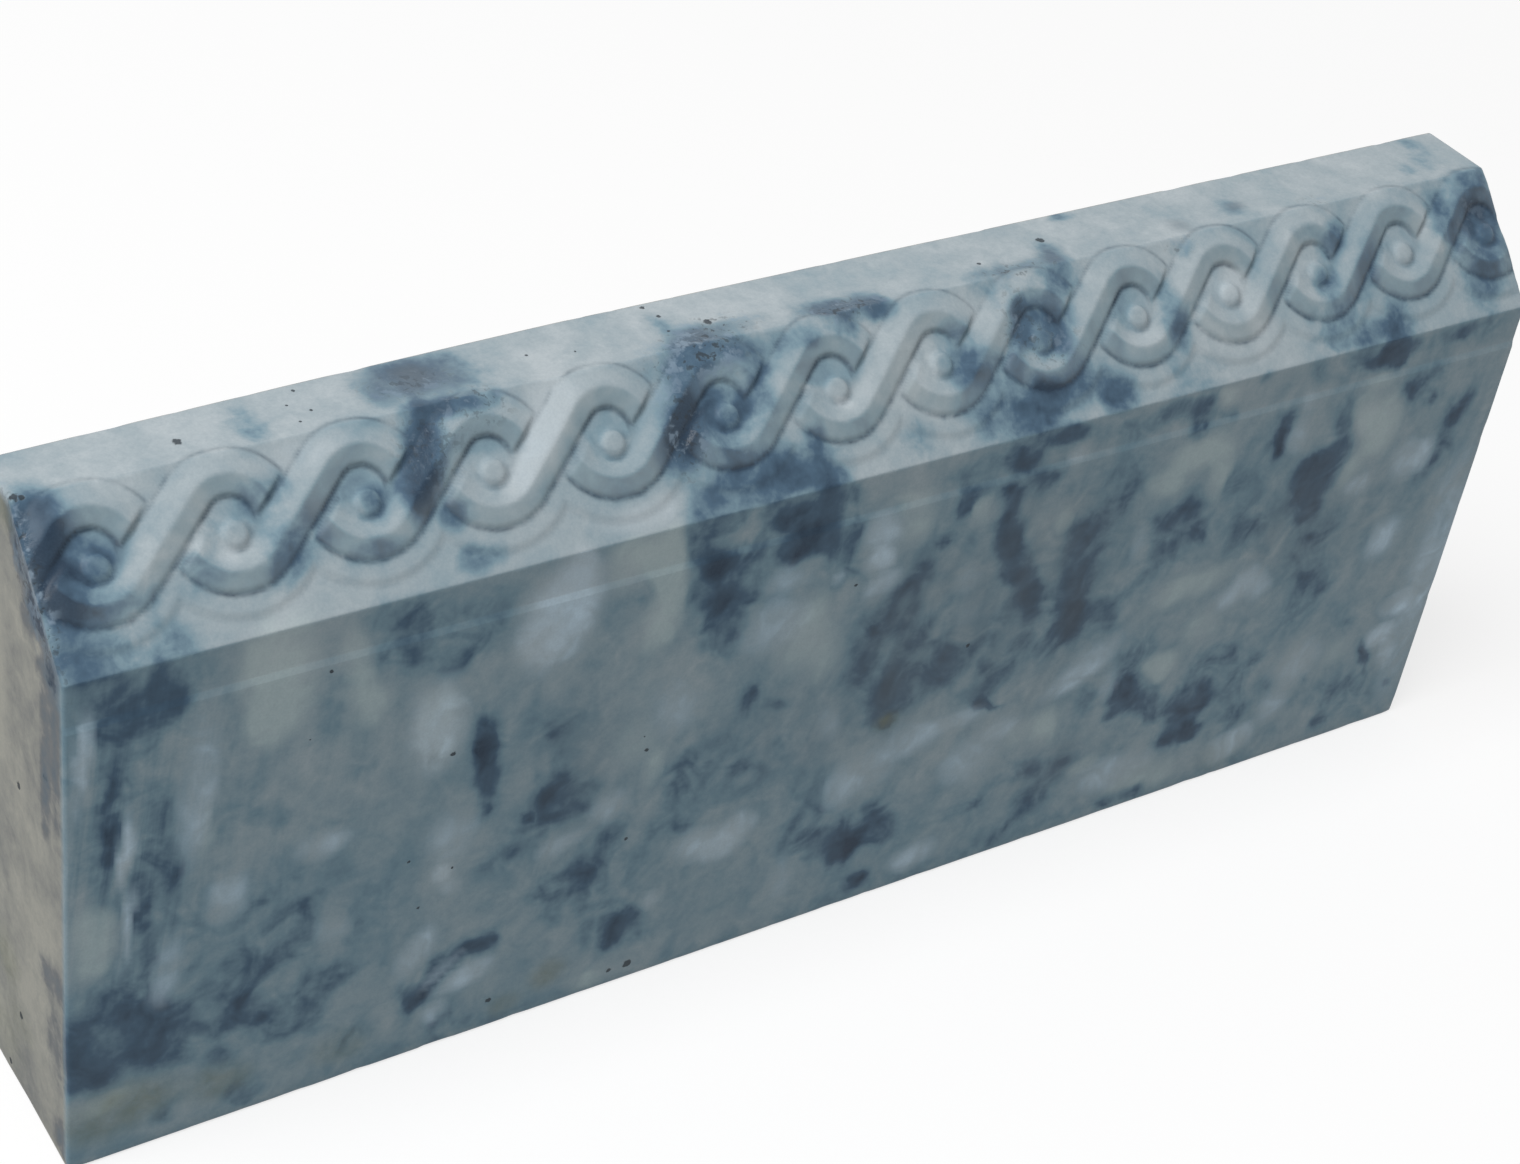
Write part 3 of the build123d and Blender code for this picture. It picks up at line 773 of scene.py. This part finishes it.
def guilloche_tree():
    """The node tree that raises the woven band from a plain skin and wears its arrises."""
    tree = bpy.data.node_groups.new("guilloche", "GeometryNodeTree")
    tree.interface.new_socket("Geometry", in_out="INPUT", socket_type="NodeSocketGeometry")
    for name in GUILLOCHE_INPUTS:
        tree.interface.new_socket(name, in_out="INPUT", socket_type="NodeSocketFloat")
    tree.interface.new_socket("Material", in_out="INPUT", socket_type="NodeSocketMaterial")
    tree.interface.new_socket("Geometry", in_out="OUTPUT", socket_type="NodeSocketGeometry")
    given = {socket.name: Wire(tree, socket) for socket in tree.nodes.new("NodeGroupInput").outputs}
    start = given["Geometry"]

    # Places on the slope: along the kerb, up from the centre line and off the slope
    position = start.node("GeometryNodeInputPosition")
    x, y, z = (start.node("ShaderNodeSeparateXYZ", sockets={0: position}, output=axis) for axis in range(3))
    cosine, sine = given["Slope Cosine"], given["Slope Sine"]
    behind = y - given["Slope Top Y"]
    above = z - given["Slope Top Z"]
    up = behind * cosine + above * sine + given["Centre Drop"]
    off = above * cosine - behind * sine
    along = x - given["Left End"] - given["First Button"]
    pitch, radius = given["Pitch"], given["Strand Radius"]
    light_width, shade_width = given["Light Width"], given["Shade Width"]

    # The ring round the nearest button
    from_button = along - pitch * start.math("ROUND", along / pitch)
    ring = start.math("SQRT", from_button * from_button + up * up)
    run_sine = radius * 2 / pitch
    run_cosine = start.math("SQRT", 1 - run_sine * run_sine)
    forward = from_button * run_cosine + up * run_sine
    ring_aside = (radius - ring) * start.math("SIGN", forward)

    # The straight run between two buttons
    across = along - pitch / 2 - up * run_cosine / run_sine
    nearest = start.math("ROUND", across / pitch)
    run_aside = (across - pitch * nearest) * run_sine
    run_forward = (along - pitch / 2 - pitch * nearest) * run_cosine + up * run_sine
    on_run = abs(run_forward) < pitch * run_cosine / 2

    def section(aside):
        """The strand's height at a distance from its ridge."""
        share = aside.least(0) / light_width + aside.most(0) / shade_width
        sockets = {"Value": share * 0.5 + 0.5}
        return start.node("ShaderNodeFloatCurve", {"curve": STRAND_SECTION}, sockets)

    def line(distance, half_width):
        """1 on the middle of a line, falling to 0 at its edges."""
        return start.math("SUBTRACT", 1, abs(distance) / half_width, clamp=True)

    def outline(aside):
        """The dark lines along a strand's two edges, dirt and painted shade: the lower one full, the upper
        one fainter and strongest high on the slope.
        """
        lower = line(aside - shade_width - LINE_SHIFT, LOWER_LINE)
        upper = line(aside + light_width, UPPER_LINE)
        return lower.most(upper * (up.rise(*UPPER_LINE_RISE) * 0.4 + 0.2))

    # A ring dips where it goes under a run, sooner on the run's lower side
    past_lower = (run_aside - shade_width).rise(*LOWER_DIP)
    past_upper = (-run_aside - light_width).rise(*UPPER_DIP)
    dip = 1 - on_run * (1 - past_lower.most(past_upper))
    button_up = up + given["Button Drop"]
    to_button = start.math("SQRT", from_button * from_button + button_up * button_up)
    button_radius = given["Button Radius"]
    moat = (to_button - button_radius).rise(*MOAT_RISE)

    run_height = section(run_aside) * on_run
    ring_height = section(ring_aside) * dip * moat
    button_share = to_button / button_radius
    dome = (1 - button_share.rise(0.62, 1.1)) * (1 - button_share * button_share * 0.25)
    past_border = ring - given["Border Radius"]
    lower_half = 1 - up.rise(*LOWER_HALF_FALL)
    border = (1 - past_border.rise(*BORDER_FALL)) * lower_half
    strands = run_height.most(ring_height) * given["Crown"]
    relief = strands.most(dome * given["Button Crown"]).most(border * given["Border Height"])
    near_slope = off.rise(*SLOPE_RISE)
    from_end = (x - given["Left End"]).least(given["Right End"] - x)
    worn_ends = from_end.rise(*END_RISE) * 0.7 + 0.3

    # Painted shade and dirt for the concrete's colour: dark lines in the weave's creases, partly dirt and
    # partly painted shade, painted shade on the strands' lower facets, turned from the lamp, and on the low
    # ground near the buttons
    in_run = on_run * (run_aside > -light_width) * (run_aside < shade_width)
    ring_lines = outline(ring_aside) * dip * (1 - in_run)
    # Painted shadow: a dark crescent in the moat below and to the right of each button, the side turned from
    # the lamp
    below_button = ((from_button - button_up) / button_radius * 0.6 + 0.2).clamped()
    moat_line = line(to_button - button_radius, MOAT_LINE) * below_button
    # Painted shade where a ring dips under a run
    tongue_line = (1 - abs(dip * 2 - 1)) * (section(ring_aside) > 0.3)
    border_line = line(past_border, BORDER_LINE) * lower_half
    lines = (outline(run_aside) * on_run).most(ring_lines).most(moat_line * 0.7).most(tongue_line * 0.4)
    crease = lines.most(border_line * 0.15) * near_slope
    # Painted shade: the strands' lower facets, turned from the lamp, marked for a darker colour
    run_shade = run_aside.rise(*SHADE_RISE) * in_run
    ring_shade = ring_aside.rise(*SHADE_RISE) * (ring_aside < shade_width) * dip * (1 - in_run)
    shade = run_shade.most(ring_shade) * near_slope
    # Painted shade: the low ground of the weave near the buttons, marked for a darker, bluer colour
    low = 1 - (relief / given["Crown"]).rise(0.1, 0.6)
    hollow = low * (1 - ring.rise(*EYE_FALL)) * near_slope

    # Wear along the arrises and the hollows of the cast faces, both inwards
    arris = start.node("GeometryNodeInputNamedAttribute", {"data_type": "FLOAT"}, {"Name": "arris"})
    chips = start.node("ShaderNodeTexNoise", sockets={"Vector": position, "Scale": 70, "Detail": 3})
    waves = start.node("ShaderNodeTexNoise", sockets={"Vector": position, "Scale": 22, "Detail": 2})
    sunk = arris * chips.rise(0.5, 0.78) * given["Wear"] + waves * given["Unevenness"]
    normal = start.node("GeometryNodeInputNormal")
    nx, ny, nz = (start.node("ShaderNodeSeparateXYZ", sockets={0: normal}, output=axis) for axis in range(3))
    raised = relief * near_slope * worn_ends
    new_y = y - ny * sunk - raised * sine
    new_z = (z - nz * sunk + raised * cosine).least(given["Crest"])
    place = start.node("ShaderNodeCombineXYZ", sockets={0: x - nx * sunk, 1: new_y, 2: new_z})

    shape = start
    on_points = {"data_type": "FLOAT", "domain": "POINT"}
    # The painted shade and the dark creases are kept on the points for the material
    for name, value in (("crease", crease), ("shade", shade), ("hollow", hollow)):
        sockets = {"Geometry": shape, "Name": name, "Value": value}
        shape = start.node("GeometryNodeStoreNamedAttribute", on_points, sockets)
    shape = start.node("GeometryNodeSetPosition", sockets={"Geometry": shape, "Position": place})
    shape = start.node("GeometryNodeRealizeInstances", sockets={"Geometry": shape})
    shape = start.node("GeometryNodeSetMaterial", sockets={"Geometry": shape, "Material": given["Material"]})
    start.node("NodeGroupOutput", sockets={"Geometry": shape})
    return tree


def raise_guilloche(stone, block, band, material):
    """Run the guilloche tree on the plain skin and keep the result as a plain mesh."""
    tree = guilloche_tree()
    modifier = stone.modifiers.new("guilloche", "NODES")
    modifier.node_group = tree
    values = {
        "Left End": block.left,
        "Right End": block.right,
        "Slope Top Y": block.slope_top.x,
        "Slope Top Z": block.slope_top.y,
        "Slope Cosine": block.up_slope.x,
        "Slope Sine": block.up_slope.y,
        "Crest": block.crest,
        "Material": material,
    }
    for socket in tree.interface.items_tree:
        if socket.in_out == "INPUT" and socket.name != "Geometry":
            name = socket.name
            value = values[name] if name in values else getattr(band, property_name(name))
            modifier[socket.identifier] = value
    graph = bpy.context.evaluated_depsgraph_get()
    plain = stone.data
    stone_mesh = bpy.data.meshes.new_from_object(
        stone.evaluated_get(graph), preserve_all_data_layers=True, depsgraph=graph
    )
    stone.modifiers.remove(modifier)
    stone.data = stone_mesh
    bpy.data.meshes.remove(plain)
    stone_mesh.name = stone.name


def property_name(label):
    """The name of the property that a socket's label stands for."""
    return label.lower().replace(" ", "_")


def layer(start, name):
    """A value that the mesh keeps on its points."""
    return start.node("ShaderNodeAttribute", {"attribute_name": name}, output="Fac")


def cloud(start, point, scale, detail, roughness, distortion):
    """Noise round 0 with about this many swells to the metre."""
    names = ("Vector", "Scale", "Detail", "Roughness", "Distortion")
    sockets = dict(zip(names, (point, scale, detail, roughness, distortion)))
    return start.node("ShaderNodeTexNoise", sockets=sockets) - 0.5


def drawn_out(start, point, lean, stretch):
    """Coordinates that lean in radians about Y and stretch a pattern along each axis."""
    sockets = {"Vector": point, "Rotation": (0, lean, 0), "Scale": stretch}
    return start.node("ShaderNodeMapping", {"vector_type": "TEXTURE"}, sockets)


def coloured(start, stops, depth):
    """The colour that a ramp of (place, colour) stops has at a depth."""
    return start.node("ShaderNodeValToRGB", {"stops": stops}, {0: depth})


def mixed(start, share, first, second, blend="MIX"):
    """Two colours, wired or plain, mixed by a share."""
    settings = {"data_type": "RGBA", "blend_type": blend}
    first, second = (value if isinstance(value, Wire) else (*value, 1) for value in (first, second))
    return start.node("ShaderNodeMix", settings, {0: share, 6: first, 7: second}, output=2)


def picked(values, names):
    """The values of these names, in order."""
    return [values[name] for name in names.split()]


def concrete_clouds(start, point):
    """The noise of the concrete, from broad billows to its grain, by name."""
    leaning = drawn_out(start, point, 0.25, (1, 2, 2.8))
    combed = drawn_out(start, point, 0.1, (1, 1, 14))
    return {
        "billow": cloud(start, point, 38, 3, 0.5, 0.7),
        "streak": cloud(start, leaning, 62, 2, 0.4, 0.8),
        "wisp": cloud(start, point, 80, 2, 0.45, 1.2),
        "mottle": cloud(start, point, 150, 3, 0.52, 0.5),
        "fleck": cloud(start, point, 480, 3, 0.55, 0.2),
        "grain": cloud(start, point, 1500, 2, 0.55, 0),
        "hairs": cloud(start, combed, 170, 3, 0.55, 0.4),
    }


def concrete_layers(start, clouds):
    """The marks that the mesh keeps, by name, with ragged edges where the pigment ran."""
    # The weave's creases, shaded facets and low ground come as painted shade, the creases with dirt
    kinds = "stain light sand bare veil dusk moss brushed pitted crease shade hollow"
    layers = {name: layer(start, name) for name in kinds.split()}
    stain, light, sand, veil = picked(layers, "stain light sand veil")
    billow, streak, wisp, mottle, fleck = picked(clouds, "billow streak wisp mottle fleck")
    edge = stain * (1 - stain) * (3.2 - veil * 0.4) + stain * 0.3
    rough = mottle * (0.7 - veil * 0.45) + billow * 0.6 + streak * 0.8
    rough = rough + wisp * veil * 0.8 + fleck * (0.2 - veil * 0.12)
    layers["ragged"] = stain + rough * edge
    layers["light"] = (light + rough * light * (1 - light) * 4).clamped()
    layers["sand"] = (sand + rough * sand * (1 - sand) * 6).clamped()
    return layers


def marble_colour(start, layers, clouds, finish):
    """The polished faces: cement and blue pigment, with sand, gleams, a cool veil and painted shade on the
    weave's lower facets and low ground.
    """
    stain, ragged, light, sand, veil = picked(layers, "stain ragged light sand veil")
    dusk, brushed, shade, hollow = picked(layers, "dusk brushed shade hollow")
    billow, streak, wisp, mottle, fleck = picked(clouds, "billow streak wisp mottle fleck")
    drift = billow * (0.55 - veil * 0.2) + streak * (veil * 0.1 + 0.25) + wisp * veil * 0.35
    drift = drift + mottle * (0.25 - veil * 0.1) + fleck * 0.1
    strokes = brushed * clouds["hairs"] * 0.9
    # Painted shade: the lower facets and the low ground of the weave turn darker and bluer
    facets = shade * (0.2 + billow * 0.9) + hollow * (0.12 + billow * 0.9)
    lights = light * (0.32 - veil * 0.08) + sand * 0.2
    heart = ragged.rise(0.3, 1.0) * veil * 0.25
    depth = ragged * (0.72 - veil * 0.39) + heart + veil * 0.14 + drift + facets - strokes - lights + 0.14
    stops = [
        (0, finish.pale), (0.14, finish.light), (0.42, finish.middle), (0.7, finish.slate), (1, finish.dark),
    ]
    colour = coloured(start, stops, depth)
    warm = (sand * (1.2 + mottle * 1.5 + wisp) + billow * 0.6 - stain - light).clamped() * 0.55
    colour = mixed(start, warm, colour, finish.warm)
    gleam = (light * veil * (0.7 + mottle * 0.5 + billow + wisp * 1.5)).clamped() * 0.85
    colour = mixed(start, gleam, colour, finish.gleam)
    dull = (dusk * (0.7 - veil * 0.3 + streak * 1.5)).clamped()
    colour = mixed(start, dull, colour, finish.dusk)
    return mixed(start, veil, colour, finish.haze, "MULTIPLY")


def cement_colour(start, layers, clouds, finish):
    """The unpolished faces: bare cement with grey stains."""
    billow, streak, mottle, fleck = picked(clouds, "billow streak mottle fleck")
    drift = billow * 0.7 + streak * 0.4 + mottle * 0.4 + fleck * 0.12
    depth = drift + layers["ragged"] * 0.95 - layers["light"] * 0.6 + 0.12
    stops = [(0, finish.bare), (0.45, finish.ash), (0.8, finish.dusk), (1, finish.dark)]
    return coloured(start, stops, depth)


def weathered(start, layers, clouds, finish, colour):
    """A colour with moss and grain, painted shade on the strands' lower facets, dark creases that are partly
    dirt and partly painted shade, and pitted places with painted glints and dark specks.
    """
    stain, moss, shade, crease, pitted = picked(layers, "stain moss shade crease pitted")
    billow, mottle, fleck, grain = picked(clouds, "billow mottle fleck grain")
    coats = [
        ((moss * (0.55 + mottle * 1.2)).clamped(), finish.moss),
        ((grain * 0.3 + fleck * 0.14 + 0.05).clamped(), finish.slate),
        # Painted shade on the strands' lower facets
        (shade * (1 - stain) * (0.3 + mottle * 0.5), finish.shadow),
        # Dark creases of the weave, partly dirt and partly painted shade
        ((crease * (0.55 + mottle * 1.8 + billow)).clamped(), finish.dark),
        # Painted glints: pale blue highlights on the pitted stone
        ((mottle + fleck * 0.6).rise(0.03, 0.2) * pitted * 0.6, finish.painted_glint),
        ((-fleck - mottle * 0.5).rise(0.06, 0.18) * pitted * 0.8, finish.grime_and_hole_shade),
    ]
    for share, coat in coats:
        colour = mixed(start, share, colour, coat)
    return colour


def hole_places(block):
    """The air holes as (place, radius), in metres."""
    holes = []
    for across, down, radius in TOP_HOLES:
        holes.append(((block.left + across * MM, block.slope_top.x - down * MM, block.top), radius * MM))
    for across, down, radius in FRONT_HOLES:
        holes.append(((block.left + across * MM, block.front, block.slope_foot.y - down * MM), radius * MM))
    for across, down, radius in END_HOLES:
        holes.append(((block.left, block.back - across * MM, block.crest - down * MM), radius * MM))
    return holes


def air_holes(start, point, fleck, block):
    """1 in the air holes, with uneven rims, and 0 elsewhere."""
    holes = None
    for place, radius in hole_places(block):
        sockets = {0: point, 1: place}
        reach = start.node("ShaderNodeVectorMath", {"operation": "DISTANCE"}, sockets, output="Value")
        hole = 1 - (reach + fleck * radius * 3).rise(radius * 0.8, radius * 1.3)
        holes = hole if holes is None else holes.most(hole)
    return holes


def marbled_concrete(block, finish):
    """Cement with a drawn-out blue marbling, polished on its cast faces and bare on the others."""
    material = bpy.data.materials.new("marbled_concrete")
    material.use_nodes = True
    material.node_tree.nodes.clear()
    start = Wire(material.node_tree)
    point = start.node("ShaderNodeTexCoord", output="Object")
    clouds = concrete_clouds(start, point)
    layers = concrete_layers(start, clouds)
    stain, bare, pitted = picked(layers, "stain bare pitted")
    mottle, fleck, grain = picked(clouds, "mottle fleck grain")

    marble = marble_colour(start, layers, clouds, finish)
    cement = cement_colour(start, layers, clouds, finish)
    colour = weathered(start, layers, clouds, finish, mixed(start, bare, marble, cement))
    holes = air_holes(start, point, fleck, block)
    # Air holes painted nearly black: dirt and painted shade in the holes
    colour = mixed(start, holes * 0.9, colour, finish.grime_and_hole_shade)
    height = mottle * 0.3 + grain * 0.05 + fleck * (pitted * 1.6 + 0.06) - holes * 1.2
    relief = {"Strength": 0.4, "Distance": 0.5 * MM, "Height": height}
    bump = start.node("ShaderNodeBump", sockets=relief, output="Normal")
    dullness = 0.55 - stain * 0.12 - pitted * 0.15 + bare * 0.22 + mottle * 0.2
    shader = start.node(
        "ShaderNodeBsdfPrincipled",
        sockets={"Base Color": colour, "Roughness": dullness, "Normal": bump, "Specular IOR Level": 0.2},
    )
    start.node("ShaderNodeOutputMaterial", sockets={"Surface": shader})
    return material


class KERB_OT_cast_stone(Operator):
    """Cast the kerb stone over the frame's block"""

    bl_idname = "kerb.cast_stone"
    bl_label = "Cast Kerb Stone"

    def execute(self, context):
        sizes = context.scene.kerb_block
        block = Block(sizes)
        skin = stone_skin(block, sizes)
        points = np.concatenate(skin.points)
        facing = np.concatenate(skin.facing)
        lean_back(points, block, sizes)
        mesh = bpy.data.meshes.new("plain_skin")
        mesh.from_pydata(points.tolist(), [], skin.faces)
        if mesh.validate():
            raise RuntimeError("the kerb's skin has faulty faces")
        mesh.polygons.foreach_set("use_smooth", np.arange(len(mesh.polygons)) < skin.flat_from)
        set_layers(mesh, {"arris": np.concatenate(skin.arris), **mark_layers(block, points, facing)})
        stone = bpy.data.objects.new("cast_stone", mesh)
        context.scene.collection.objects.link(stone)
        material = marbled_concrete(block, context.scene.kerb_concrete)
        raise_guilloche(stone, block, context.scene.kerb_guilloche, material)
        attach(stone, "root")
        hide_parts("kerb_stone")
        return {"FINISHED"}


def seen_share(start):
    """1 for what the camera sees, straight or through a reflection or glass."""
    kinds = ("Camera", "Glossy", "Transmission")
    camera, glossy, through = (start.node("ShaderNodeLightPath", output=f"Is {kind} Ray") for kind in kinds)
    return camera.most(glossy).most(through)


def studio_floor(stage):
    """A pale floor, mostly plain white to the camera, that keeps the stone's shadow."""
    reach = stage.floor_reach
    corners = [(-reach, -reach, 0), (reach, -reach, 0), (reach, reach, 0), (-reach, reach, 0)]
    mesh = bpy.data.meshes.new("studio_floor")
    mesh.from_pydata(corners, [], [(0, 1, 2, 3)])
    material = bpy.data.materials.new("studio_floor")
    material.use_nodes = True
    material.node_tree.nodes.clear()
    start = Wire(material.node_tree)
    seen = seen_share(start)
    colour = mixed(start, seen, stage.floor, WHITE)
    paint = start.node("ShaderNodeBsdfDiffuse", sockets={"Color": colour})
    white = start.node("ShaderNodeEmission", sockets={"Color": (*WHITE, 1), "Strength": 1})
    point = start.node("ShaderNodeTexCoord", output="Object")
    distance = start.node("ShaderNodeVectorMath", {"operation": "LENGTH"}, {0: point}, output="Value")
    away = distance.rise(stage.clear_from, stage.clear_to)
    share = seen * (stage.clear + away * (1 - stage.clear))
    shader = start.node("ShaderNodeMixShader", sockets={0: share, 1: paint, 2: white})
    start.node("ShaderNodeOutputMaterial", sockets={"Surface": shader})
    mesh.materials.append(material)
    floor = bpy.data.objects.new("studio_floor", mesh)
    bpy.context.scene.collection.objects.link(floor)


def studio_light(stage):
    """Even light all round and one large soft lamp, high on the left."""
    world = bpy.data.worlds.new("studio")
    world.use_nodes = True
    world.node_tree.nodes.clear()
    start = Wire(world.node_tree)
    seen = seen_share(start)
    strength = seen + (1 - seen) * stage.sky
    sky = start.node("ShaderNodeBackground", sockets={"Color": (*WHITE, 1), "Strength": strength})
    start.node("ShaderNodeOutputWorld", sockets={"Surface": sky})
    bpy.context.scene.world = world
    lamp = bpy.data.lights.new("key", "AREA")
    lamp.energy = stage.key_power
    lamp.size = stage.key_size
    key = bpy.data.objects.new("key", lamp)
    key.location = KEY_DIRECTION * stage.key_distance
    key.rotation_euler = KEY_DIRECTION.to_track_quat("Z", "Y").to_euler()
    bpy.context.scene.collection.objects.link(key)


def photo_camera():
    """The camera at the photograph's own viewpoint."""
    eye = Vector((-456.42, -551.66, 628.07)) * MM
    yaw, pitch, roll = (math.radians(angle) for angle in (38.256, 36.080, 9.452))
    lens = bpy.data.cameras.new("camera")
    lens.sensor_fit = "HORIZONTAL"
    lens.sensor_width = 36
    lens.lens = 69.364
    camera = bpy.data.objects.new("camera", lens)
    turn = Matrix.Rotation(-yaw, 3, "Z") @ Matrix.Rotation(math.pi / 2 - pitch, 3, "X")
    camera.location = eye
    camera.rotation_euler = (turn @ Matrix.Rotation(roll, 3, "Z")).to_euler()
    bpy.context.scene.collection.objects.link(camera)
    bpy.context.scene.camera = camera


class KERB_OT_stage(Operator):
    """Set the floor, the light and the camera"""

    bl_idname = "kerb.stage"
    bl_label = "Set the Stage"

    def execute(self, context):
        stage = context.scene.kerb_stage
        studio_floor(stage)
        studio_light(stage)
        photo_camera()
        context.scene.view_settings.view_transform = "Standard"
        return {"FINISHED"}


class KERB_PT_sidebar(Panel):
    """The kerb's settings and steps"""

    bl_idname = "KERB_PT_sidebar"
    bl_label = "Kerb Stone"
    bl_space_type = "VIEW_3D"
    bl_region_type = "UI"
    bl_category = "Kerb"

    def draw(self, context):
        for group in GROUPS:
            box = self.layout.box()
            settings = getattr(context.scene, group)
            box.label(text=settings.bl_rna.description)
            for name in settings.__annotations__:
                box.prop(settings, name)
        self.layout.operator(KERB_OT_cast_stone.bl_idname)
        self.layout.operator(KERB_OT_stage.bl_idname)


GROUPS = {
    "kerb_block": KERB_PG_block,
    "kerb_guilloche": KERB_PG_guilloche,
    "kerb_concrete": KERB_PG_concrete,
    "kerb_stage": KERB_PG_stage,
}
CLASSES = (*GROUPS.values(), KERB_OT_cast_stone, KERB_OT_stage, KERB_PT_sidebar)


def register():
    """Add the classes and the scene's settings."""
    for cls in CLASSES:
        bpy.utils.register_class(cls)
    for name, group in GROUPS.items():
        setattr(bpy.types.Scene, name, PointerProperty(type=group))


def unregister():
    """Take the settings and the classes away again."""
    for name in GROUPS:
        delattr(bpy.types.Scene, name)
    for cls in reversed(CLASSES):
        bpy.utils.unregister_class(cls)


def main():
    """Register and run every step in order."""
    register()
    bpy.ops.kerb.cast_stone()
    bpy.ops.kerb.stage()


if __name__ == "__main__":
    main()
